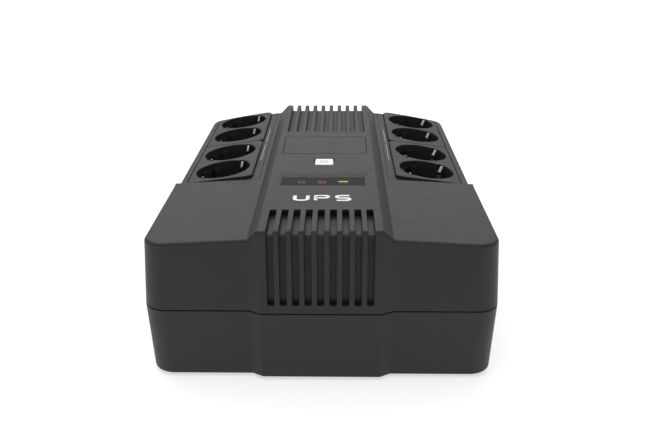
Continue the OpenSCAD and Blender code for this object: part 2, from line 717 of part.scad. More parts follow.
button_out = 151.9;
module breaker_body() color(dark) difference() {
  union() {
    box([breaker_x - 7.5, 120, 10], [breaker_x + 7.5, port_y - 2.8, 42]);
    rod_y([breaker_x, 140, port_mid_z], 5.5, port_y + 2.2 - 140);
    for (z = [18, 34]) box([breaker_x - 3, 112, z - 0.4], [breaker_x + 3, 120 + eps, z + 0.4]);
  }
  rod_y([breaker_x, 134, port_mid_z], 3.6, 30);
}
module breaker_nut() color(metal) difference() {
  translate([breaker_x, port_y + 0.05, port_mid_z]) rotate([-90, 0, 0]) cylinder(r = 8, h = 1.9, $fn = 6);
  rod_y([breaker_x, port_y - 1, port_mid_z], 5.55, 5);
}
module breaker_button() color("#b3261e") rod_y([breaker_x, 138, port_mid_z], 3.5, button_out - 138);

jack_z = [19.3, 32.7];
module line_ports() color(dark) difference() {
  box([line_x - 8, 131, 12.5], [line_x + 8, port_y + 1.8, 39.5]);
  for (z = jack_z) {
    box([line_x - 5.9, 136, z - 4.1], [line_x + 5.9, 160, z + 3.9]);
    box([line_x - 3, 136, z - 5.6], [line_x + 3, 160, z - 4]);
  }
}

// ---------- battery ----------

terminal_x = 62;
terminal_z = 38;
module battery_case() color("#2a2c30") difference() {
  box([-battery_w / 2, battery_y[0], battery_low], [battery_w / 2, battery_y[1], battery_top]);
  for (s = [left, right]) on_side(s)
    box([terminal_x - 6, battery_y[1] - 3, terminal_z - 6], [terminal_x + 6, battery_y[1] + 1, terminal_z + 6]);
  difference() {
    box([-far, battery_y[1] - 13, 0], [far, battery_y[1] - 12, far]);
    box([-battery_w / 2 + 0.6, -far, battery_low + 0.6], [battery_w / 2 - 0.6, far, battery_top - 0.6]);
  }
}
module battery_terminals() color(metal) for (s = [left, right]) on_side(s)
  box([terminal_x - 3.2, battery_y[1] - 3, terminal_z - 0.4], [terminal_x + 3.2, battery_y[1] + 6, terminal_z + 0.4]);

lead_y = battery_y[1] + 6.05;
red_route = [[-62, lead_y, 38], [-62, -33, 38], [-63, -30, 34], [-66, -26, 29], [-69, -20, 25.5], [-70, -16, 22.5],
  [-70, -16, 17.65]];
black_route = [[62, lead_y, 38], [62, -33, 38], [57, -29.5, 29], [46, -28.5, 19], [30, -28, 15], [0, -28, 15],
  [-30, -28, 15], [-55, -28.5, 18], [-72, -27, 24], [-79, -20, 25.5], [-80, -16, 22.5], [-80, -16, 17.65]];
module battery_lead_red() color("#a81e1e") swept(red_route, 1.5);
module battery_lead_black() color("#111111") swept(black_route, 1.5);

// ---------- transformer ----------

core_low = boss_top + 1.5;
core_hw = 42;
core_h = 70;
core_l = 40;
core_mid_z = core_low + core_h / 2;
module core_windows(grow) for (s = [left, right]) on_side(s)
  box([14 - grow, 0, core_mid_z - 21 - grow], [28 + grow, 120, core_mid_z + 21 + grow]);
module transformer_core() color("#55585c") difference() {
  box([-core_hw, transformer_y - core_l / 2, core_low], [core_hw, transformer_y + core_l / 2, core_low + core_h]);
  core_windows(0);
}
module transformer_bobbin() color("#dcd8c8") difference() {
  union() {
    box([-15.6, 37.5, core_mid_z - 20.9], [15.6, 82.5, core_mid_z + 20.9]);
    for (z = [core_mid_z - 20.9, core_mid_z + 19.7])
      box([-27.8, 27, z], [27.8, 93, z + 1.2]);
  }
  box([-14.1, transformer_y - core_l / 2 - 0.1, 0], [14.1, transformer_y + core_l / 2 + 0.1, 99]);
}
module transformer_winding() color(copper) difference() {
  plate([-27.4, 27.5], [27.4, 92.5], core_mid_z - 19.6, core_mid_z + 19.6, 6);
  box([-15.7, 37.4, 0], [15.7, 82.6, 99]);
}
module transformer_bracket() color("#9a9da1") difference() {
  union() {
    box([-core_hw - 1.6, 46, boss_top], [core_hw + 1.6, 74, core_low + core_h + 1.6]);
    box([-56, 43, boss_top], [56, 77, boss_top + 1.5]);
  }
  box([-core_hw - 0.1, 0, boss_top - 1], [core_hw + 0.1, 120, core_low + core_h + 0.1]);
  for (s = [left, right], d = [-bracket_dy, bracket_dy]) on_side(s)
    translate([bracket_x, transformer_y + d, 0]) cylinder(r = 2, h = 30);
}

// ---------- main board ----------

board_top = board_z + board_t;
on_board = board_top + 0.02;
module main_board() color(board_green) {
  difference() {
    plate([-99, -25], [-58.5, 125], board_z, board_top, 1);
    for (p = standoffs) translate([p.x, p.y, 0]) cylinder(r = 1.6, h = 30);
  }
  for (x = [-70, -80]) box([x - 3, -19, board_top - eps], [x + 3, -13, 17.6]);
  box([-96, -16, board_top - eps], [-88, -11, 19]);
  box([-87, 112, board_top - eps], [-67, 120, 23.6]);
}
module heatsink() color("#b9bcc0") {
  box([-86, -6, on_board], [-84, 54, 48]);
  for (i = [0:6]) box([-97, -6, on_board + 2 + 5 * i], [-86 + eps, 54, on_board + 3.2 + 5 * i]);
}
module transistors() color(dark) for (y = [1, 16, 31, 46]) {
  box([-83.9, y - 5, 22], [-79.4, y + 5, 38]);
  for (d = [-2.5, 0, 2.5]) box([-82.2, y + d - 0.4, on_board], [-81.4, y + d + 0.4, 22 + eps]);
}
// Capacitors: [x, y, radius, height].
cans = [[-69, 0, 8, 27], [-69, 18, 8, 27], [-69, 33, 5, 20], [-93, 85, 5, 16], [-93, 98, 5, 16]];
module capacitors() color("#23324a") for (c = cans) translate([c.x, c.y, on_board]) cylinder(r = c[2], h = c[3]);
module relays() color("#1d2f6b") for (y = [56, 75, 94])
  box([-79, y - 7.7, on_board], [-60, y + 7.7, on_board + 15.5]);
module buzzer() color(dark) difference() {
  translate([-91, 68, on_board]) cylinder(r = 6, h = 8);
  translate([-91, 68, on_board + 5]) cylinder(r = 1.2, h = 8);
}

// ---------- fasteners and wiring ----------

// Cross-recessed screw pointing up from its head's underside.
module screw(head_r, head_h, shank_r, length) difference() {
  union() {
    translate([0, 0, -head_h]) cylinder(r = head_r, h = head_h);
    translate([0, 0, -eps]) cylinder(r = shank_r, h = length);
  }
  for (a = [0, 90]) rotate([0, 0, a])
    box([-head_r * 0.6, -0.4, -head_h - 1], [head_r * 0.6, 0.4, -head_h * 0.45]);
}
module case_screws() color(metal) for (s = [left, right], p = posts) on_side(s)
  translate([p.x, p.y, base_z + 34]) screw(3.6, 2.4, 1.95, 22);
module socket_screws() color(metal) for (s = [left, right], row = [0, 1], u = [-boss_u, boss_u])
  on_side(s) socket_frame() translate([u, middle_y(row), carrier_top - carrier_t]) screw(2.8, 1.8, 1.2, 11.5);
module transformer_screws() color(metal) for (s = [left, right], d = [-bracket_dy, bracket_dy]) on_side(s)
  translate([bracket_x, transformer_y + d, boss_top + 1.5]) rotate([180, 0, 0]) screw(3.5, 2.2, 1.55, 5.8);
module board_screws() color(metal) {
  for (p = standoffs) translate([p.x, p.y, board_top]) rotate([180, 0, 0]) screw(2.6, 1.8, 1.15, 6.5);
  for (s = [left, right], p = display_bosses) on_side(s)
    translate([p.x, p.y, display_z - board_t]) screw(2.6, 1.8, 1.05, 7.5);
}

neutral_route = [[-31, 121.95, 28], [-31, 116, 28], [-40, 109, 34], [-58, 110, 34.5], [-69, 114, 32],
  [-71, 116, 28], [-71, 116, 23.65]];
fused_route = [[-17, 121.95, 28], [-17, 116, 28], [-12, 109, 25], [-3, 105, 20], [5, 107, 18], [5, 111.95, 18]];
live_route = [[5, 111.95, 34], [5, 108, 34], [-10, 102, 39], [-48, 103, 41], [-70, 109, 38], [-77, 114, 33],
  [-78, 116, 28], [-78, 116, 23.65]];
earth_route = [[-24, 121.95, 24], [-24, 116, 24], [-33, 107.5, 22], [-56, 106.5, 25], [-77, 107, 30],
  [-84, 112, 31], [-85, 116, 28], [-85, 116, 23.65]];
module mains_wires() color("#6b4a2b") for (r = [neutral_route, fused_route, live_route, earth_route]) swept(r, 1.3);

cable_route = [[-22, -60, 84.75], [-22, -60, 80], [-34, -44, 77], [-50, -34, 66], [-72, -31, 48],
  [-90, -22, 32], [-92, -13.5, 24], [-92, -13.5, 19.1]];
module display_cable() color("#8d8f93") swept(cable_route, 1.2);

top_cover();
base_tray();
battery_door();
rubber_feet();
front_vent_baffle();
rear_vent_baffle();
blanking_panel();
display_window();
led_green();
led_red();
led_yellow();
power_button();
button_spring();
switch_body();
switch_plunger();
display_board();
socket_deck_left();
socket_deck_right();
socket_left_front();
socket_left_rear();
socket_right_front();
socket_right_rear();
carrier_left_front();
carrier_left_rear();
carrier_right_front();
carrier_right_rear();
earth_strap_left();
earth_strap_right();
live_bar_left();
live_bar_right();
neutral_bar_left();
neutral_bar_right();
inlet_body();
inlet_pins();
breaker_body();
breaker_nut();
breaker_button();
line_ports();
battery_case();
battery_terminals();
battery_lead_red();
battery_lead_black();
transformer_core();
transformer_bobbin();
transformer_winding();
transformer_bracket();
main_board();
heatsink();
transistors();
capacitors();
relays();
buzzer();
case_screws();
socket_screws();
board_screws();
transformer_screws();
mains_wires();
display_cable();
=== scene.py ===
import math

import bmesh
import bpy
from mathutils import Matrix, Vector


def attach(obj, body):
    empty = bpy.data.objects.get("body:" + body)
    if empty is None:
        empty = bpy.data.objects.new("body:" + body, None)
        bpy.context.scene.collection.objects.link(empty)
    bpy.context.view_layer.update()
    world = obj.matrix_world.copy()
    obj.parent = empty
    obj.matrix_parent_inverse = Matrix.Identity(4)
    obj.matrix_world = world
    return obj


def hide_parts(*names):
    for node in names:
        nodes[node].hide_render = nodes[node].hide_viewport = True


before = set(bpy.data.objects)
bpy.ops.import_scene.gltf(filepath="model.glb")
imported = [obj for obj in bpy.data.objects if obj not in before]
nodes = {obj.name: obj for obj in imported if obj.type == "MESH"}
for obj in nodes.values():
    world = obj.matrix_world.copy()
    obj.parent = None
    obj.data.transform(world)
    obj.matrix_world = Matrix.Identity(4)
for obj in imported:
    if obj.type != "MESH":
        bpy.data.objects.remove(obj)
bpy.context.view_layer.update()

MM = 0.001
SIDES = {"left": -1, "right": 1}

# ---------- sizes in millimetres, in the row frame ----------

CASE_L, CASE_W, CASE_H = 304.4, 210.4, 99.9
BASE_Z, FLOOR_Z = 2.0, 4.5
TRAY_Z, COVER_Z = 47.9, 48.5
WALL = 2.5
SPINE_TOP, SPINE_FOOT, SPINE_DROP = 35.3, 41.8, 7.05
FOOT_Z = CASE_H - SPINE_DROP
SPINE_K = (SPINE_FOOT - SPINE_TOP) / SPINE_DROP
WING_FALL, DECK_FALL = 3.2, 4.84
STEP_Y = -38.5
DECK_EDGE, DECK_OUT, DECK_IN = 100.3, 95.9, 44.9
SHOULDER_Z = 81.5
DECK_WALL = 4.5
SOCKET_X, SOCKET_Z, SOCKET_TILT = 73.4, 91.5, 7.48
RECESS_R, RECESS_D = 19.5, 17.5
CLIP_TURN = 45.0
SEAM_DIMS = (CASE_W / 2, -CASE_L / 2 + 3.95, CASE_L / 2)
TOP_DIMS = (CASE_W / 2 - 2.53, -CASE_L / 2 + 5.27, CASE_L / 2 - 0.93)
BOTTOM_DIMS = (CASE_W / 2 - 1.2, -CASE_L / 2 + 9.65, CASE_L / 2 - 1.2)
NOSE_OUT = 3.95
FRONT_R, REAR_R, BOW_R = 14.0, 11.0, 160.0
SLOT_N, SLOT_PITCH, SLOT_W = 9, 7.2, 4.0
FAR = 400.0


# ---------- outlines ----------

def arc(cx, cy, r, a0, a1, n):
    """Points of an arc from angle a0 to a1 in degrees."""
    out = []
    for i in range(n + 1):
        a = math.radians(a0 + (a1 - a0) * i / n)
        out.append((cx + r * math.cos(a), cy + r * math.sin(a)))
    return out


def mirrored(pts):
    """The points across X = 0, in the opposite order."""
    return [(-x, y) for x, y in reversed(pts)]


def plan(dims, inset=0.0, corner=REAR_R, n=10):
    """The case's plan at one height. dims is half width, main front y and rear y."""
    hw, yf, yr = dims[0] - inset, dims[1] + inset, dims[2] - inset
    shift = 0.294 * inset
    fr, cr, bow, x0 = FRONT_R - inset, corner - inset, BOW_R - inset, SPINE_FOOT - 0.4
    cx = hw - cr
    cy = yr - bow + math.sqrt((bow - cr) ** 2 - (cx - x0) ** 2)
    a = math.degrees(math.atan2(cy - yr + bow, cx - x0))
    half = [(SPINE_TOP + 0.3 - shift, yf - NOSE_OUT), (SPINE_FOOT + 0.2 - shift, yf)]
    half += arc(hw - fr, yf + fr, fr, -90, 0, n)
    half += arc(cx, cy, cr, 0, a, n)
    half += arc(x0, yr - bow, bow, a, 90, 6)[1:]
    return half + mirrored(half)


def rounded(ax, ay, bx, by, r, n=4):
    """Rounded rectangle. r is one radius or four: near a, +X corner, near b, +Y corner."""
    r = [r] * 4 if not isinstance(r, (list, tuple)) else r
    return (arc(ax + r[0], ay + r[0], r[0], 180, 270, n) + arc(bx - r[1], ay + r[1], r[1], 270, 360, n)
            + arc(bx - r[2], by - r[2], r[2], 0, 90, n) + arc(ax + r[3], by - r[3], r[3], 90, 180, n))


# ---------- solids ----------

def solid(name, rings):
    """A closed object through rings of equal length, each a list of (x, y, z) in millimetres."""
    bm = bmesh.new()
    made = [[bm.verts.new(p) for p in ring] for ring in rings]
    n = len(rings[0])
    for low, high in zip(made, made[1:]):
        for i in range(n):
            j = (i + 1) % n
            bm.faces.new((low[i], low[j], high[j], high[i]))
    bm.faces.new(list(reversed(made[0])))
    bm.faces.new(made[-1])
    bmesh.ops.recalc_face_normals(bm, faces=bm.faces)
    return from_bmesh(name, bm)


def from_bmesh(name, bm):
    mesh = bpy.data.meshes.new(name)
    bm.to_mesh(mesh)
    bm.free()
    obj = bpy.data.objects.new(name, mesh)
    bpy.context.scene.collection.objects.link(obj)
    return obj


def prism(name, pts, z0, z1):
    return solid(name, [[(x, y, z) for x, y in pts] for z in (z0, z1)])


def extrude_y(name, pts, y0, y1):
    """pts are (x, z)."""
    return solid(name, [[(x, y, z) for x, z in pts] for y in (y0, y1)])


def brick(name, a, b):
    return prism(name, [(a[0], a[1]), (b[0], a[1]), (b[0], b[1]), (a[0], b[1])], a[2], b[2])


def disc(name, x, y, r, z0, z1, n=64):
    """A cylinder."""
    return prism(name, arc(x, y, r, 0, 360, n)[:-1], z0, z1)


def place(obj, matrix):
    obj.data.transform(matrix)
    if matrix.determinant() < 0:
        obj.data.flip_normals()
    return obj


def drop(obj):
    mesh = obj.data
    bpy.data.objects.remove(obj)
    bpy.data.meshes.remove(mesh)


def settle(obj):
    """Applies the object's modifiers to its mesh."""
    graph = bpy.context.evaluated_depsgraph_get()
    mesh = bpy.data.meshes.new_from_object(obj.evaluated_get(graph))
    obj.modifiers.clear()
    old = obj.data
    obj.data = mesh
    bpy.data.meshes.remove(old)
    return obj


def join(name, parts):
    bm = bmesh.new()
    for p in parts:
        bm.from_mesh(p.data)
        drop(p)
    return from_bmesh(name, bm)


def closed_volume(obj):
    """The enclosed volume and whether the mesh is closed."""
    bm = bmesh.new()
    bm.from_mesh(obj.data)
    size = bm.calc_volume(signed=False)
    shut = len(bm.faces) > 3 and all(len(e.link_faces) == 2 for e in bm.edges)
    bm.free()
    return size, shut


def split(obj, y):
    """Cuts the faces of obj along the plane at y, which keeps wide panels from bridging their holes."""
    bm = bmesh.new()
    bm.from_mesh(obj.data)
    bmesh.ops.bisect_plane(bm, geom=bm.verts[:] + bm.edges[:] + bm.faces[:], dist=1e-4,
                           plane_co=(0, y, 0), plane_no=(0, 1, 0))
    bm.to_mesh(obj.data)
    bm.free()
    return obj


def boolean(obj, tool, operation="DIFFERENCE", least=0.005):
    """Combines obj with tool. An open result, or one too small, is retried with the tool moved a micron."""
    start = obj.data.copy()
    before, shut_before = closed_volume(obj)
    best = None
    for attempt in range(7):
        m = obj.modifiers.new("solid", "BOOLEAN")
        m.operation, m.solver, m.object = operation, "EXACT", tool
        settle(obj)
        size, shut = closed_volume(obj)
        if operation == "DIFFERENCE":
            sane = least * before < size <= before * 1.0001
        elif operation == "UNION":
            sane = size >= before * 0.9999
        else:
            sane = size > 1e-6
        if sane and (shut or not shut_before):
            best = None
            break
        print("boolean", obj.name, tool.name, operation, attempt, round(before, 1), round(size, 1), shut)
        if sane and best is None:
            best = obj.data.copy()
        obj.data = start.copy()
        tool.data.transform(Matrix.Translation((0.0013, 0.0009, -0.0011)))
    if best is not None:
        obj.data = best
    drop(tool)
    return obj


def clean(obj, angle=0.15):
    """Merges doubled corners and joins faces that lie in one plane."""
    bm = bmesh.new()
    bm.from_mesh(obj.data)
    bmesh.ops.remove_doubles(bm, verts=bm.verts, dist=0.002)
    bmesh.ops.dissolve_degenerate(bm, edges=bm.edges, dist=0.002)
    bmesh.ops.dissolve_limit(bm, angle_limit=math.radians(angle), verts=bm.verts, edges=bm.edges,
                             use_dissolve_boundaries=False)
    bm.to_mesh(obj.data)
    bm.free()
    return obj


def bevel(obj, width_of, segments=3):
    """Bevels each edge by width_of(middle, angle in degrees, normals), where that is above 0."""
    bm = bmesh.new()
    bm.from_mesh(obj.data)
    layer = bm.edges.layers.float.get("bevel_weight_edge") or bm.edges.layers.float.new("bevel_weight_edge")
    widths = {}
    for e in bm.edges:
        if len(e.link_faces) != 2:
            continue
        angle = math.degrees(e.calc_face_angle_signed(0.0))
        if abs(angle) < 8:
            continue
        mid = (e.verts[0].co + e.verts[1].co) / 2
        w = width_of(mid, angle, (e.link_faces[0].normal, e.link_faces[1].normal))
        if w > 0:
            widths[e.index] = w
    most = max(widths.values()) if widths else 1.0
    for e in bm.edges:
        e[layer] = widths.get(e.index, 0.0) / most
    bm.to_mesh(obj.data)
    bm.free()
    m = obj.modifiers.new("bevel", "BEVEL")
    m.limit_method, m.width, m.segments, m.use_clamp_overlap = "WEIGHT", most, segments, False
    m.miter_outer = "MITER_SHARP"
    m.loop_slide = True
    settle(obj)
    bm = bmesh.new()
    bm.from_mesh(obj.data)
    layer = bm.edges.layers.float.get("bevel_weight_edge")
    if layer:
        for e in bm.edges:
            e[layer] = 0.0
    bm.to_mesh(obj.data)
    bm.free()
    return obj


def finish_mesh(obj, body, smooth=32.0):
    """Scales a millimetre mesh to metres, smooths it by angle and hangs it on its body."""
    obj.data.transform(Matrix.Scale(MM, 4))
    obj.data.set_sharp_from_angle(angle=math.radians(smooth))
    m = obj.modifiers.new("normals", "WEIGHTED_NORMAL")
    m.keep_sharp = True
    m.weight = 80
    # Faces of many corners are flat panels: smoothing would bend the light across them.
    for p in obj.data.polygons:
        p.use_smooth = len(p.vertices) <= 8
    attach(obj, body)
    return obj


# ---------- smoothing for the pieces that keep their exact solids ----------

def smooth_group():
    """Node group: smooth faces with sharp edges above 32 degrees."""
    g = bpy.data.node_groups.new("smooth_by_angle", "GeometryNodeTree")
    g.interface.new_socket("Geometry", in_out="INPUT", socket_type="NodeSocketGeometry")
    g.interface.new_socket("Geometry", in_out="OUTPUT", socket_type="NodeSocketGeometry")
    n, link = g.nodes, g.links.new
    gin, gout = n.new("NodeGroupInput"), n.new("NodeGroupOutput")
    faces, edges = n.new("GeometryNodeSetShadeSmooth"), n.new("GeometryNodeSetShadeSmooth")
    faces.domain, edges.domain = "FACE", "EDGE"
    angle = n.new("GeometryNodeInputMeshEdgeAngle")
    compare = n.new("FunctionNodeCompare")
    compare.operation = "LESS_THAN"
    compare.inputs["B"].default_value = math.radians(32)
    link(angle.outputs["Unsigned Angle"], compare.inputs["A"])
    link(gin.outputs[0], faces.inputs["Geometry"])
    faces.inputs["Shade Smooth"].default_value = True
    link(faces.outputs[0], edges.inputs["Geometry"])
    link(compare.outputs["Result"], edges.inputs["Shade Smooth"])
    link(edges.outputs[0], gout.inputs[0])
    return g


SMOOTH = smooth_group()


def soften(name, width=0.25, angle=40.0, segments=2, flat=1.0):
    """Small bevels and smooth shading on an exact CAD node."""
    o = nodes[name]
    w = o.modifiers.new("weld", "WELD")
    w.merge_threshold = 0.000002
    d = o.modifiers.new("flat", "DECIMATE")
    d.decimate_type, d.angle_limit = "DISSOLVE", math.radians(flat)
    if width > 0:
        b = o.modifiers.new("bevel", "BEVEL")
        b.width, b.segments, b.limit_method = width * MM, segments, "ANGLE"
        b.angle_limit, b.use_clamp_overlap = math.radians(angle), True
    s = o.modifiers.new("smooth", "NODES")
    s.node_group = SMOOTH
    n = o.modifiers.new("normals", "WEIGHTED_NORMAL")
    n.keep_sharp = True
    return o


# ---------- materials ----------

def set_input(node, name, value):
    if name in node.inputs:
        node.inputs[name].default_value = value


def finish_of(name, color, rough, grain=0.0, grain_scale=2600.0, mottle=0.06, metal=0.0, spec=0.5,
              brushed=False):
    """A procedural surface: colour mottling, roughness variation and moulded grain."""
    m = bpy.data.materials.new(name)
    m.use_nodes = True
    n, link = m.node_tree.nodes, m.node_tree.links.new
    n.clear()
    out, bsdf = n.new("ShaderNodeOutputMaterial"), n.new("ShaderNodeBsdfPrincipled")
    link(bsdf.outputs[0], out.inputs[0])
    coords, place_map = n.new("ShaderNodeTexCoord"), n.new("ShaderNodeMapping")
    link(coords.outputs["Object"], place_map.inputs["Vector"])
    if brushed:
        place_map.inputs["Scale"].default_value = (1.0, 0.06, 1.0)
    broad = n.new("ShaderNodeTexNoise")
    broad.inputs["Scale"].default_value = 90.0
    broad.inputs["Detail"].default_value = 3.0
    link(place_map.outputs[0], broad.inputs["Vector"])
    tone = n.new("ShaderNodeMapRange")
    tone.inputs["To Min"].default_value = 1.0 - mottle
    tone.inputs["To Max"].default_value = 1.0 + mottle
    link(broad.outputs[0], tone.inputs["Value"])
    mix = n.new("ShaderNodeVectorMath")
    mix.operation = "SCALE"
    mix.inputs[0].default_value = color[:3]
    link(tone.outputs[0], mix.inputs["Scale"])
    colour = mix.outputs[0]
    link(colour, bsdf.inputs["Base Color"])
    rough_map = n.new("ShaderNodeMapRange")
    rough_map.inputs["To Min"].default_value = max(rough - 0.05, 0.02)
    rough_map.inputs["To Max"].default_value = min(rough + 0.05, 1.0)
    link(broad.outputs[0], rough_map.inputs["Value"])
    link(rough_map.outputs[0], bsdf.inputs["Roughness"])
    if grain > 0:
        fine = n.new("ShaderNodeTexNoise")
        fine.inputs["Scale"].default_value = grain_scale
        fine.inputs["Detail"].default_value = 2.0
        link(place_map.outputs[0], fine.inputs["Vector"])
        bump = n.new("ShaderNodeBump")
        bump.inputs["Strength"].default_value = grain
        bump.inputs["Distance"].default_value = 0.0001
        link(fine.outputs[0], bump.inputs["Height"])
        link(bump.outputs[0], bsdf.inputs["Normal"])
    set_input(bsdf, "Metallic", metal)
    set_input(bsdf, "Specular IOR Level", spec)
    return m


ABS = finish_of("charcoal_abs", (0.0165, 0.0165, 0.0168), 0.5, grain=0.22, mottle=0.02, spec=0.32)
DARK = finish_of("dark_abs", (0.010, 0.010, 0.0105), 0.5, grain=0.18)
BAFFLE = finish_of("baffle_abs", (0.0165, 0.0165, 0.0168), 0.5, grain=0.18, spec=0.32)
RUBBER = finish_of("feet_rubber", (0.012, 0.012, 0.012), 0.8, grain=0.3)
WINDOW = finish_of("window_acrylic", (0.006, 0.006, 0.0065), 0.55, grain=0.03, spec=0.12)
GREEN = finish_of("lens_green", (0.03, 0.17, 0.04), 0.5, spec=0.1)
RED = finish_of("lens_red", (0.42, 0.03, 0.03), 0.5, spec=0.1)
YELLOW = finish_of("lens_yellow", (0.78, 0.74, 0.04), 0.5, spec=0.1)
WHITE = finish_of("button_white", (0.92, 0.92, 0.93), 0.35, grain=0.05)
SYMBOL = finish_of("symbol_grey", (0.22, 0.22, 0.23), 0.5)
PRINT = finish_of("pale_print", (0.9, 0.9, 0.9), 0.5)
LINE_PRINT = finish_of("grey_print", (0.38, 0.38, 0.385), 0.5)
RED_CAP = finish_of("button_red", (0.45, 0.025, 0.02), 0.35, grain=0.05)
STEEL = finish_of("plated_steel", (0.66, 0.66, 0.67), 0.22, metal=1.0, grain=0.05, brushed=True)
BRASS = finish_of("contact_brass", (0.72, 0.48, 0.2), 0.3, metal=1.0, grain=0.05, brushed=True)
BOARD = finish_of("board_laminate", (0.02, 0.12, 0.045), 0.4, grain=0.1)
BATTERY = finish_of("battery_plastic", (0.03, 0.033, 0.04), 0.5, grain=0.2)
RED_WIRE = finish_of("red_insulation", (0.4, 0.02, 0.02), 0.4, grain=0.05)
BLACK_WIRE = finish_of("black_insulation", (0.012, 0.012, 0.012), 0.4, grain=0.05)
BROWN_WIRE = finish_of("brown_insulation", (0.14, 0.065, 0.03), 0.4, grain=0.05)
GREY_WIRE = finish_of("grey_insulation", (0.26, 0.27, 0.28), 0.5, grain=0.1)
CORE = finish_of("core_steel", (0.16, 0.165, 0.175), 0.45, metal=0.8, grain=0.2, brushed=True)
BOBBIN = finish_of("bobbin_plastic", (0.7, 0.66, 0.53), 0.5, grain=0.1)
COPPER = finish_of("copper_wire", (0.55, 0.22, 0.08), 0.35, metal=0.9, grain=0.3)
ALUMINIUM = finish_of("heatsink_aluminium", (0.5, 0.51, 0.53), 0.35, metal=1.0, grain=0.1, brushed=True)
CAN = finish_of("capacitor_sleeve", (0.02, 0.04, 0.08), 0.3, grain=0.03)
RELAY = finish_of("relay_plastic", (0.02, 0.04, 0.16), 0.35, grain=0.05)


def paint(obj, material):
    obj.data.materials.clear()
    obj.data.materials.append(material)
    return obj


def repaint(names, material, **how):
    """Paints exact CAD nodes through their object slots and softens their edges."""
    for name in names:
        o = soften(name, **how)
        if not o.material_slots:
            o.data.materials.append(material)
        for s in o.material_slots:
            s.link = "OBJECT"
            s.material = material


# ---------- top cover ----------

def fall(x, degrees, depth=0.0):
    """Height of a falling surface at x, moved down by depth square to itself."""
    a = math.radians(degrees)
    return FOOT_Z - (x - SPINE_FOOT) * math.tan(a) - depth / math.cos(a)


def whole(half):
    return half + mirrored(half)


def cover_dims(z):
    """The outline's sizes at height z."""
    k = (z - COVER_Z) / (CASE_H - COVER_Z)
    return [low + (high - low) * k for low, high in zip(SEAM_DIMS, TOP_DIMS)]


def deck_dims(z):
    """The same behind the step, where the sides lean in above the shoulder."""
    low = cover_dims(SHOULDER_Z)[0]
    k = (low - DECK_EDGE) / (fall(DECK_EDGE, DECK_FALL) - SHOULDER_Z)
    return [low - k * (z - SHOULDER_Z)] + cover_dims(z)[1:]


def cover_form():
    side = CASE_W / 2 + 5
    above = CASE_H + 4
    halves = []
    for degrees, dims, y0, y1 in ((WING_FALL, cover_dims, -FAR, STEP_Y), (DECK_FALL, deck_dims, STEP_Y, FAR)):
        sizes = ((COVER_Z, cover_dims(COVER_Z)), (SHOULDER_Z, cover_dims(SHOULDER_Z)), (above, dims(above)))
        form = solid("case_cover", [[(x, y, z) for x, y in plan(d)] for z, d in sizes])
        section = whole([(side, 0), (side, fall(side, degrees)), (SPINE_FOOT, FOOT_Z), (SPINE_TOP, CASE_H)])
        halves.append(boolean(form, extrude_y("section", section, y0, y1), "INTERSECT"))
    form = clean(boolean(halves[0], halves[1], "UNION"))
    bm = bmesh.new()
    bm.from_mesh(form.data)
    nose = [v for v in bm.verts if v.co.y < -140 and 34 < abs(v.co.x) < 43 and v.co.z > 85]
    bmesh.ops.remove_doubles(bm, verts=nose, dist=0.5)
    bm.to_mesh(form.data)
    bm.free()
    return form


def cover_cavity():
    low, high = plan(SEAM_DIMS, WALL, n=5), plan(TOP_DIMS, WALL, n=5)
    hollow = solid("cavity", [[(x, y, COVER_Z - 1) for x, y in low], [(x, y, CASE_H) for x, y in high]])
    slope = WALL * math.sqrt(1 + SPINE_K ** 2)
    crown_hw = SPINE_TOP + WALL * SPINE_K - slope
    foot = SPINE_FOOT - slope + 1.0
    foot_z = FOOT_Z - 1.0 / SPINE_K
    ceiling = [(CASE_W, 0), (CASE_W, fall(CASE_W, DECK_FALL, DECK_WALL)),
               (foot, fall(foot, DECK_FALL, DECK_WALL)),
               (foot, foot_z), (crown_hw, CASE_H - WALL)]
    return boolean(hollow, extrude_y("ceiling", whole(ceiling), -FAR, FAR), "INTERSECT")


def deck_outline(x_in, y0, gap, s):
    """Plan of a deck insert, moved outwards by gap on every side."""
    outline = plan((DECK_OUT + gap, -140, 149.4 + gap), 0, 8 + gap)
    rear = [p for p in outline if p[0] > x_in - gap and p[1] > 60]
    half = [(x_in - gap, y0 - gap), (DECK_OUT + gap, y0 - gap)] + rear
    half += [(x_in - gap, 149.4 + gap)]
    return [(s * x, y) for x, y in (half if s > 0 else list(reversed(half)))]


def deck_slab(low, high, s):
    """A slab between two heights over the deck's plane."""
    tool = brick("slab", (-60, -FAR, low), (120, FAR, high))
    m = Matrix.Translation((SPINE_FOOT, 0, FOOT_Z)) @ Matrix.Rotation(math.radians(DECK_FALL), 4, "Y")
    return place(tool, (Matrix.Diagonal((-1, 1, 1, 1)) if s < 0 else Matrix.Identity(4)) @ m)


def slot_x(i):
    return (i - (SLOT_N - 1) / 2) * SLOT_PITCH


def slot_tools(y0, y1, z0, face_y0, face_y1):
    """Cutters of one set of vents: the ones through the roof and the ones down the face."""
    half = SLOT_W / 2
    roof = [prism("slot", rounded(slot_x(i) - half, y0, slot_x(i) + half, y1, 0.9, 3), CASE_H - 8, CASE_H + 5)
            for i in range(SLOT_N)]
    high = CASE_H + 3
    face = [extrude_y("slot", rounded(slot_x(i) - half, z0, slot_x(i) + half, high, 0.9, 3), face_y0, face_y1)
            for i in range(SLOT_N)]
    return join("roof_slots", roof), join("face_slots", face)


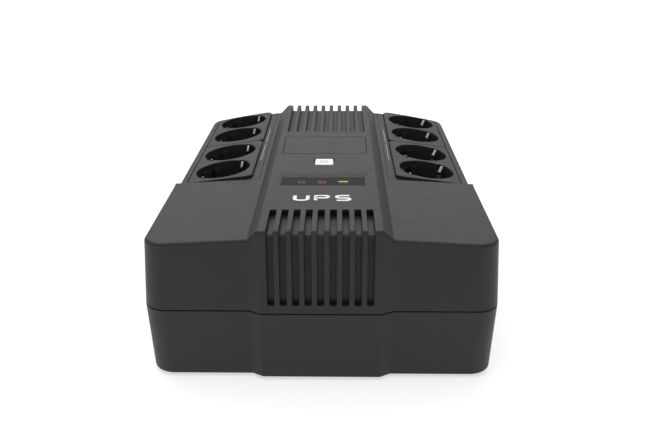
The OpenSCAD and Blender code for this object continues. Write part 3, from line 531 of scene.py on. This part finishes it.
def cover_edges(mid, angle, normals):
    """Bevel widths of the cover's outer form."""
    up = [n.z > 0.6 for n in normals]
    if mid.z < COVER_Z + 0.1:
        return 0.35
    if abs(mid.y - STEP_Y) < 0.3 and abs(mid.x) > SPINE_FOOT - 1:
        return 0.18
    if abs(abs(mid.x) - SPINE_TOP) < 0.5 and mid.z > CASE_H - 0.3 and abs(mid.y) < 149:
        return 0.8
    if abs(abs(mid.x) - SPINE_FOOT) < 0.5 and abs(mid.z - FOOT_Z) < 0.5 and abs(mid.y) < 146:
        return 0.7
    if up[0] != up[1]:
        return 1.7 if mid.y < STEP_Y else 1.5
    if abs(mid.z - SHOULDER_Z) < 0.3 and mid.y > STEP_Y:
        return 2.4
    if mid.y < -140:
        return 0.9
    return 0.8 if abs(angle) > 20 else 0.0


def rim_edges(width):
    """Bevel rule for the rims of openings in the cover's outer surface."""
    def rule(mid, angle, normals):
        if abs(angle) < 50 or angle < 0:
            return 0.0
        across = sorted(abs(n.x) for n in normals)
        if across[0] < 0.3 and across[1] > 0.9 and abs(mid.x) < 32 and mid.z > 52 and not -146 < mid.y < 147:
            return width
        if max(n.z for n in normals) > 0.75 and mid.z > 84 and min(abs(n.z) for n in normals) < 0.5:
            return width if abs(mid.x) < SPINE_TOP else 0.0
        front = min(n.y for n in normals) < -0.9 and mid.y < -149.4
        rear = max(n.y for n in normals) > 0.9 and mid.y > 150.2
        if (front or rear) and abs(mid.x) < 32 and mid.z > 52:
            return width
        return 0.0
    return rule


def build_cover():
    cover = bevel(cover_form(), cover_edges, 4)
    boolean(cover, cover_cavity())
    for s in (-1, 1):
        rebate = prism("rebate", deck_outline(DECK_IN, -37.6, 0.25, s), 82, 110)
        boolean(cover, boolean(rebate, deck_slab(-2.55, 30, s), "INTERSECT"))
        boolean(cover, prism("through", deck_outline(DECK_IN + 2, -35.6, 0.25, s), 70, 110))
    tools = slot_tools(-FAR, -116.3, 53.8, -FAR, -144.2) + slot_tools(60.6, FAR, 74.0, 144.2, FAR)
    for tool in tools:
        boolean(cover, tool)
    floor = CASE_H - 1
    boolean(cover, solid("recess", [
        [(-27.5, -72.2, floor), (27.5, -72.2, floor), (27.5, -53.1, floor), (-27.5, -53.1, floor)],
        [(-34.5, -72.2, floor + 2), (34.5, -72.2, floor + 2),
         (34.5, -38.9, floor + 2), (-34.5, -38.9, floor + 2)]]))
    boolean(cover, prism("window", rounded(-27.5, -72.2, 27.5, -53.1, 0.6), 94, 101))
    boolean(cover, prism("button", rounded(-7.1, -27.6, 7.1, -12.1, 1.6), 94, 101))
    boolean(cover, prism("panel", rounded(-31, -1.1, 31, 45.2, 2.5), 94, 101))
    clean(cover, 0.4)
    bevel(cover, rim_edges(0.4), 2)
    return paint(finish_mesh(cover, "case"), ABS)


cover = build_cover()
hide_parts("top_cover")


# ---------- base tray ----------

def base_edges(mid, angle, normals):
    if mid.z < BASE_Z + 0.1:
        return 1.6
    if mid.z > TRAY_Z - 0.1:
        return 0.35
    return 0.9 if abs(angle) > 15 and mid.y < -140 else 0.0


def tray_dims(z):
    k = (z - BASE_Z) / (TRAY_Z - BASE_Z)
    return [b + (t - b) * k for b, t in zip(BOTTOM_DIMS, SEAM_DIMS)]


PORT_Y, PORT_MID_Z = 149.2, 26.0
INLET_X, BREAKER_X, LINE_X = -24.0, 5.0, 27.5
BAY_HW, BAY_Y = 78.0, (-138.6, -37.5)
POSTS = ((93, -135), (95, -47), (47, 141.5))
FEET = ((91, -122), (90, 118))
STANDOFFS = ((-95, -20), (-62, -21), (-95, 120), (-62, 121))
BRACKET = ((50, 48), (50, 72))


def tray_rims(mid, angle, normals):
    """Bevels on the tray's openings that show from outside."""
    if angle < 50:
        return 0.0
    if mid.z < BASE_Z + 0.05 and min(n.z for n in normals) < -0.9:
        return 0.3
    if mid.y > 150.0 and abs(mid.x) < 43 and 7 < mid.z < 45:
        return 0.4
    return 0.0


def build_base():
    low, high = plan(BOTTOM_DIMS), plan(SEAM_DIMS)
    tray = solid("case_base", [[(x, y, BASE_Z) for x, y in low], [(x, y, TRAY_Z) for x, y in high]])
    bevel(clean(tray), base_edges, 4)
    inner = [[(x, y, z) for x, y in plan(tray_dims(z), WALL, n=5)] for z in (FLOOR_Z, TRAY_Z + 4)]
    boolean(tray, solid("hollow", inner))
    boolean(tray, brick("pocket_wall", (-43, PORT_Y - 2.7, FLOOR_Z - 0.5), (43, PORT_Y + 1, 45.5)), "UNION")
    boolean(tray, brick("pocket", (-42, PORT_Y, 8), (42, FAR, 44)))
    boolean(tray, brick("inlet", (INLET_X - 13.7, 130, 15.9), (INLET_X + 13.7, 160, 36.1)))
    boolean(tray, brick("line", (LINE_X - 8.2, 130, 12.3), (LINE_X + 8.2, 160, 39.7)))
    ring = [(x, z) for x, z in arc(BREAKER_X, PORT_MID_Z, 5.8, 0, 360, 40)[:-1]]
    boolean(tray, extrude_y("breaker", ring, 140, 160))
    boolean(tray, brick("bay", (-BAY_HW, BAY_Y[0], 0), (BAY_HW, BAY_Y[1], FLOOR_Z + 1)))
    posts, bosses = [], []
    for s in (-1, 1):
        posts += [disc("post", s * x, y, 5.5, FLOOR_Z - 0.2, TRAY_Z - 0.2, 32) for x, y in POSTS]
        bosses += [disc("boss", s * x, y, 5.0, FLOOR_Z - 0.2, 10, 32) for x, y in BRACKET]
    bosses += [disc("boss", x, y, 3.5, FLOOR_Z - 0.2, 12, 24) for x, y in STANDOFFS]
    walls = [brick("bay_wall", (s * 78.9 - 0.9, -139.5, FLOOR_Z - 0.2), (s * 78.9 + 0.9, -37.5, 24))
             for s in (-1, 1)]
    walls += [brick("bay_back", (-40, -37.5, FLOOR_Z - 0.2), (40, -35.7, 24))]
    for group in (posts, bosses, walls):
        boolean(tray, join("group", group), "UNION")
    wells, shafts, pockets = [], [], []
    for s in (-1, 1):
        wells += [disc("well", s * x, y, 4.3, 1, 36, 32) for x, y in POSTS]
        shafts += [disc("shaft", s * x, y, 2.2, 35, 60, 24) for x, y in POSTS]
        pockets += [disc("pocket", s * x, y, 7.2, 1, 3, 40) for x, y in FEET]
    for group in (wells, shafts, pockets):
        boolean(tray, join("group", group))
    clean(tray, 0.4)
    bevel(tray, tray_rims, 2)
    lip = []
    for inset, z0, z1 in ((WALL - 0.9, TRAY_Z - 4, TRAY_Z - 0.35), (WALL + 0.25, TRAY_Z - 2, TRAY_Z + 2.4)):
        ring = prism("lip", plan(SEAM_DIMS, inset), z0, z1)
        lip.append(boolean(ring, prism("lip_in", plan(SEAM_DIMS, WALL + 1.5), z0 - 1, z1 + 1)))
    tray = join("case_base", [tray] + lip)
    return paint(finish_mesh(tray, "case"), ABS)


base = build_base()
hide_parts("base_tray")


# ---------- socket fascias ----------

MODULE_IN, MODULE_OUT = 50.2, 95.65
MODULE_Y = ((-35.3, 54.4), (55.0, 148.6))
SOCKET_Y = ((-11.93, 30.5), (81.3, 123.7))
CUP_R, NOTCH_W, NOTCH_R, BOSS_U = 21.0, 8.0, 20.5, 17.3
# Guides in a recess: angle from the clips, width, inner radius, height. The slot beside them: angle, width.
GUIDES = ((96, 7.0, 18.2, -4.5), (68, 5.0, 17.5, -3.8))
GAP_TURN, GAP_W = 80.5, 2.2


def side_matrix(s):
    return Matrix.Diagonal((s, 1, 1, 1)) @ Matrix.Translation((SOCKET_X, 0, SOCKET_Z)) @ \
        Matrix.Rotation(math.radians(SOCKET_TILT), 4, "Y")


def spun(y, degrees):
    """Turned about the axis of the socket at y."""
    return Matrix.Translation((0, y, 0)) @ Matrix.Rotation(math.radians(degrees), 4, "Z")


def module_outline(row):
    y0, y1 = MODULE_Y[row]
    if row == 0:
        return rounded(MODULE_IN, y0, MODULE_OUT, y1, (4.5, 2, 2, 4.5), 6)
    rear = [p for p in plan((MODULE_OUT, -140, y1), 0, 8) if p[0] > MODULE_IN + 6 and p[1] > 60]
    half = arc(MODULE_IN + 4.5, y0 + 4.5, 4.5, 180, 270, 6) + arc(MODULE_OUT - 2, y0 + 2, 2, 270, 360, 6)
    return half + rear + arc(MODULE_IN + 4.5, y1 - 5.06, 4.5, 90, 180, 6)


def fascia_edges(mid, angle, normals):
    """Bevel widths of a fascia's outline, in the frame of the right side."""
    if max(n.z for n in normals) < 0.9 or mid.z < 84:
        return 0.0
    side = min(normals, key=lambda n: n.z)
    return 0.55 + 0.75 * max(-side.x, 0.0)


def mouth(s, grow=0.0, with_gaps=False):
    """Outline of a recess with its clip notches, and the slots beside the guides if asked for."""
    clip = s * CLIP_TURN
    features = [(clip + turn, NOTCH_W / 2) for turn in (0, 180)]
    if with_gaps:
        features += [(clip + s * GAP_TURN + turn, GAP_W / 2) for turn in (0, 180)]
    features = sorted((angle % 360, half + grow) for angle, half in features)
    r = RECESS_R + grow
    pts = []
    for i, (angle, half) in enumerate(features):
        c, d = math.cos(math.radians(angle)), math.sin(math.radians(angle))
        inner = math.sqrt(r * r - half * half)
        for u, v in ((inner, -half), (NOTCH_R + grow, -half), (NOTCH_R + grow, half), (inner, half)):
            pts.append((u * c - v * d, u * d + v * c))
        after, after_half = features[(i + 1) % len(features)]
        a0 = angle + math.degrees(math.asin(half / r))
        a1 = after - math.degrees(math.asin(after_half / r)) + (360 if i == len(features) - 1 else 0)
        pts += arc(0, 0, r, a0, a1, max(int((a1 - a0) / 3.75), 1))[1:-1]
    return pts


def ring_solid(name, inner, outer_r, z0, z1, cx=0.0, cy=0.0):
    """A tube between an inner outline and a round outer wall, moved to (cx, cy)."""
    outer = [(outer_r * x / math.hypot(x, y), outer_r * y / math.hypot(x, y)) for x, y in inner]
    bm = bmesh.new()
    walls = [[[bm.verts.new((x + cx, y + cy, z)) for x, y in pts] for z in (z0, z1)]
             for pts in (inner, outer)]
    n = len(inner)
    for i in range(n):
        j = (i + 1) % n
        loop = (walls[0][0], walls[0][1], walls[1][1], walls[1][0])
        for a, b in zip(loop, loop[1:] + loop[:1]):
            bm.faces.new((a[i], a[j], b[j], b[i]))
    bmesh.ops.recalc_face_normals(bm, faces=bm.faces)
    return from_bmesh(name, bm)


def build_fascia(side, row):
    s = SIDES[side]
    name = "fascia_" + side + ("_front", "_rear")[row]
    plate = prism(name, module_outline(row), 70, 110)
    frame_m = side_matrix(1)
    boolean(plate, place(brick("top", (-80, -FAR, -40), (80, FAR, 0)), frame_m), "INTERSECT")
    boolean(plate, deck_slab(-DECK_WALL, 40, 1), "INTERSECT")
    clean(plate)
    bevel(plate, fascia_edges, 3)
    plugs = [place(prism("plug", [(x, v + y) for x, v in mouth(s)], -16, 6), frame_m) for y in SOCKET_Y[row]]
    boolean(plate, join("plugs", plugs), least=0.3)
    for y in (SOCKET_Y[row][0], sum(SOCKET_Y[row]) / 2, SOCKET_Y[row][1]):
        split(plate, y)
    centres = [frame_m @ Vector((0, y, 0)) for y in SOCKET_Y[row]]
    up = frame_m.to_3x3() @ Vector((0, 0, 1))

    def rims(mid, angle, normals):
        near = min((mid - c).length for c in centres)
        return 0.5 if near < 21.0 and angle > 40 and max(n.dot(up) for n in normals) > 0.98 else 0.0
    bevel(plate, rims, 3)
    parts = [plate]
    for y in SOCKET_Y[row]:
        parts.append(place(ring_solid("cup", mouth(s, 0.03, True), CUP_R, -RECESS_D, -3.2, 0, y), frame_m))
        for guide, width, inner, top in GUIDES:
            for turn in (0, 180):
                rib = brick("rib", (inner, -width / 2, -RECESS_D + 0.2), (RECESS_R + 0.3, width / 2, top))
                bevel(rib, lambda mid, angle, normals: 0.4 if mid.x < inner + 1 or mid.z > top - 1 else 0.0,
                      2)
                parts.append(place(rib, frame_m @ spun(y, s * (CLIP_TURN + guide) + turn)))
    mid_y = sum(SOCKET_Y[row]) / 2
    for u in (-BOSS_U, BOSS_U):
        pilot = arc(0, 0, 1.25, 0, 360, 24)[:-1]
        parts.append(place(ring_solid("boss", pilot, 3.2, -RECESS_D, -9.0, u, mid_y), frame_m))
        parts.append(place(disc("boss_top", u, mid_y, 3.2, -9.02, -3.3, 24), frame_m))
    fascia = join(name, parts)
    place(fascia, Matrix.Diagonal((s, 1, 1, 1)))
    paint(finish_mesh(fascia, "case"), ABS)
    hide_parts("socket_" + side + ("_front", "_rear")[row])
    return fascia


for side in SIDES:
    for row in (0, 1):
        build_fascia(side, row)


# ---------- pieces that keep their exact solids ----------

repaint(["front_vent_baffle", "rear_vent_baffle"], BAFFLE, width=0.45, angle=30.0)
repaint(["blanking_panel", "socket_deck_left", "socket_deck_right"], ABS, width=0.3)
repaint(["battery_door"], ABS, width=0.3)
repaint(["carrier_" + side + row for side in SIDES for row in ("_front", "_rear")], DARK, width=0.3)
repaint(["rubber_feet"], RUBBER, width=0.3)
repaint(["display_window"], WINDOW, width=0.15)
repaint(["led_green"], GREEN, width=0.15)
repaint(["led_red"], RED, width=0.15)
repaint(["led_yellow"], YELLOW, width=0.15)
repaint(["earth_strap_left", "earth_strap_right", "button_spring", "inlet_pins", "battery_terminals"], STEEL,
        width=0.15)
repaint(["breaker_nut", "case_screws", "socket_screws", "board_screws", "transformer_screws"], STEEL,
        width=0.2)
repaint(["transformer_bracket"], STEEL, width=0.2)
repaint(["live_bar_left", "live_bar_right", "neutral_bar_left", "neutral_bar_right"], BRASS, width=0.15)
repaint(["inlet_body", "breaker_body", "line_ports", "switch_body"], DARK, width=0.25)
repaint(["breaker_button", "switch_plunger"], RED_CAP, width=0.3)
repaint(["display_board", "main_board"], BOARD, width=0.1)
repaint(["battery_case"], BATTERY, width=0.8)
repaint(["battery_lead_red"], RED_WIRE, width=0)
repaint(["battery_lead_black"], BLACK_WIRE, width=0)
repaint(["mains_wires"], BROWN_WIRE, width=0)
repaint(["display_cable"], GREY_WIRE, width=0)
repaint(["transformer_core"], CORE, width=0.3)
repaint(["transformer_bobbin"], BOBBIN, width=0.3)
repaint(["transformer_winding"], COPPER, width=1.2, segments=3)
repaint(["heatsink"], ALUMINIUM, width=0.15)
repaint(["transistors", "buzzer"], DARK, width=0.25)
repaint(["capacitors"], CAN, width=0.5)
repaint(["relays"], RELAY, width=0.4)


# ---------- power button ----------

BUTTON_Y, BUTTON_W, BUTTON_L = -19.85, 13.0, 14.3
BUTTON_TOP = CASE_H - 0.2


def build_button():
    hw, hl = BUTTON_W / 2, BUTTON_L / 2
    cap = prism("button_cap", rounded(-hw, BUTTON_Y - hl, hw, BUTTON_Y + hl, 1.4, 6), 93.5, BUTTON_TOP)
    bevel(cap, lambda mid, angle, normals: 0.7 if mid.z > BUTTON_TOP - 0.1 and max(n.z for n in normals) > 0.9
          else 0.0, 3)
    skirt = prism("skirt", rounded(-hw - 2, BUTTON_Y - hl - 2, hw + 2, BUTTON_Y + hl + 2, 1.5, 5), 95.6, 97.2)
    stem = disc("stem", 0, BUTTON_Y, 1.5, 91, 93.6, 32)
    boolean(cap, skirt, "UNION")
    boolean(cap, stem, "UNION")
    paint(finish_mesh(cap, "button"), WHITE)
    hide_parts("power_button")


def stroke(name, points, width, z, thick=0.03):
    """A flat printed line along points, as a thin raised strip. z is a height or a function of x and y."""
    n = len(points)
    left, right = [], []
    for i, p in enumerate(points):
        a = points[i - 1] if i else p
        b = points[i + 1] if i < n - 1 else p
        d = Vector((b[0] - a[0], b[1] - a[1])).normalized()
        off = Vector((-d.y, d.x)) * width / 2
        left.append((p[0] + off.x, p[1] + off.y))
        right.append((p[0] - off.x, p[1] - off.y))
    bm = bmesh.new()

    def corner(p, lift):
        return bm.verts.new((p[0], p[1], (z(*p) if callable(z) else z) + lift))
    rows = [[corner(l, 0), corner(r, 0), corner(r, thick), corner(l, thick)] for l, r in zip(left, right)]
    for a, b in zip(rows, rows[1:]):
        for k in range(4):
            bm.faces.new((a[k], a[(k + 1) % 4], b[(k + 1) % 4], b[k]))
    bm.faces.new(rows[0])
    bm.faces.new(list(reversed(rows[-1])))
    bmesh.ops.recalc_face_normals(bm, faces=bm.faces)
    return from_bmesh(name, bm)


def printed(name, parts, body, material):
    obj = join(name, parts)
    obj.data.transform(Matrix.Scale(MM, 4))
    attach(obj, body)
    return paint(obj, material)


build_button()
symbol = [stroke("ring", arc(0, BUTTON_Y - 0.2, 2.5, 120, 420, 28), 0.65, BUTTON_TOP)]
symbol += [stroke("bar", [(0, BUTTON_Y + 0.4), (0, BUTTON_Y + 3.2)], 0.65, BUTTON_TOP)]
printed("button_symbol", symbol, "button", SYMBOL)


# ---------- printed marks ----------

def deck_z(x, y):
    return fall(abs(x), DECK_FALL)


marks = []
for s in (-1, 1):
    x0, x1 = s * 47.6, s * 49.3
    marks.append(stroke("line", [(x0, 8.5), (x0, 49.5)], 0.5, deck_z))
    marks.append(stroke("line", [(x0, 55.5), (x0, 93.8)], 0.5, deck_z))
    for y in (8.5, 93.8):
        marks.append(stroke("tick", [(x0, y), (x1, y)], 0.5, deck_z))
printed("deck_lines", marks, "case", LINE_PRINT)


def letter_strokes(height, width):
    """Plain block capitals U, P and S as polylines in a unit box scaled to width and height."""
    w, h, r = width, height, width * 0.28
    u = [(0, h), (0, r)] + [(w / 2 - (w / 2) * math.cos(math.radians(a)), r - r * math.sin(math.radians(a)))
                            for a in range(15, 180, 15)] + [(w, r), (w, h)]
    bowl = arc(w * 0.7, h * 0.75, h * 0.25, 80, -80, 8)
    p = [(0, 0), (0, h), (w * 0.7, h)] + bowl + [(w * 0.7, h * 0.5), (0, h * 0.5)]
    q = h * 0.25
    s = [(w, h), (q, h)] + arc(q, h - q, q, 100, 260, 8) + [(q, h / 2), (w - q, h / 2)]
    s += arc(w - q, q, q, 80, -80, 8) + [(w - q, 0), (0, 0)]
    return u, p, s


label = []
for i, pts in enumerate(letter_strokes(8.5, 8.0)):
    ox, oy = -17.0 + i * 13.0, -100.5
    label.append(stroke("letter", [(ox + x, oy + y) for x, y in pts], 2.3, CASE_H))
printed("front_label", label, "case", PRINT)

dashes = []
for x in (-14.2, -0.7, 13.3):
    for dx in (-1.4, 1.4):
        dashes.append(stroke("dash", [(x + dx - 0.9, -64.6), (x + dx + 0.9, -64.6)], 0.5, CASE_H - 1.0))
printed("window_marks", dashes, "case", LINE_PRINT)


# ---------- stage ----------

def build_floor():
    """A plain pale floor that glows a little, so that it stays white round the object."""
    size = 14000.0
    floor = solid("studio_floor", [[(-size, -size, z), (size, -size, z), (size, size, z), (-size, size, z)]
                                   for z in (-20, 0)])
    floor.data.transform(Matrix.Scale(MM, 4))
    m = bpy.data.materials.new("studio_floor")
    m.use_nodes = True
    n, link = m.node_tree.nodes, m.node_tree.links.new
    bsdf = n["Principled BSDF"]
    noise, ramp = n.new("ShaderNodeTexNoise"), n.new("ShaderNodeMapRange")
    noise.inputs["Scale"].default_value = 6.0
    ramp.inputs["To Min"].default_value, ramp.inputs["To Max"].default_value = 0.60, 0.62
    link(noise.outputs[0], ramp.inputs["Value"])
    link(ramp.outputs[0], bsdf.inputs["Base Color"])
    set_input(bsdf, "Roughness", 0.9)
    set_input(bsdf, "Specular IOR Level", 0.1)
    set_input(bsdf, "Emission Color", (1, 1, 1, 1))
    set_input(bsdf, "Emission Strength", FLOOR_GLOW)
    floor.data.materials.append(m)


FLOOR_GLOW = 0.62
WORLD_LIGHT = 0.45
build_floor()


def area_light(name, where, aim, size, power):
    data = bpy.data.lights.new(name, "AREA")
    data.shape, data.size, data.size_y, data.energy = "RECTANGLE", size[0], size[1], power
    obj = bpy.data.objects.new(name, data)
    bpy.context.scene.collection.objects.link(obj)
    obj.location = where
    obj.rotation_euler = (Vector(aim) - Vector(where)).to_track_quat("-Z", "Y").to_euler()
    return obj


# Overhead, behind for the sheen on the top faces, and in front for the rounded edges.
area_light("key", (-0.3, 0.4, 1.6), (0, 0.1, 0), (1.8, 1.8), 12.0)
area_light("back", (0.0, 2.2, 1.3), (0, 0.1, 0.05), (3.0, 1.2), 13.0)
area_light("edge", (0.0, -0.75, 1.7), (0, 0, 0.05), (1.6, 0.4), 6.0)

world = bpy.data.worlds.new("studio")
bpy.context.scene.world = world
world.use_nodes = True
background = world.node_tree.nodes["Background"]
background.inputs["Color"].default_value = (1, 1, 1, 1)
background.inputs["Strength"].default_value = WORLD_LIGHT

# ---------- camera ----------

camera_data = bpy.data.cameras.new("camera")
camera_data.sensor_width = 36.0
camera_data.lens = 44.582
camera_data.dof.use_dof = False
camera = bpy.data.objects.new("camera", camera_data)
bpy.context.scene.collection.objects.link(camera)
turn = Matrix.Rotation(math.radians(1.0), 4, "Z") @ Matrix.Rotation(math.radians(90 - 21.45), 4, "X") @ \
    Matrix.Rotation(math.radians(-0.19), 4, "Z")
camera.matrix_world = Matrix.Translation((0.0099, -0.5661, 0.2698)) @ turn
bpy.context.scene.camera = camera
view_settings = bpy.context.scene.view_settings
view_settings.view_transform = "Standard"
view_settings.look = "None"
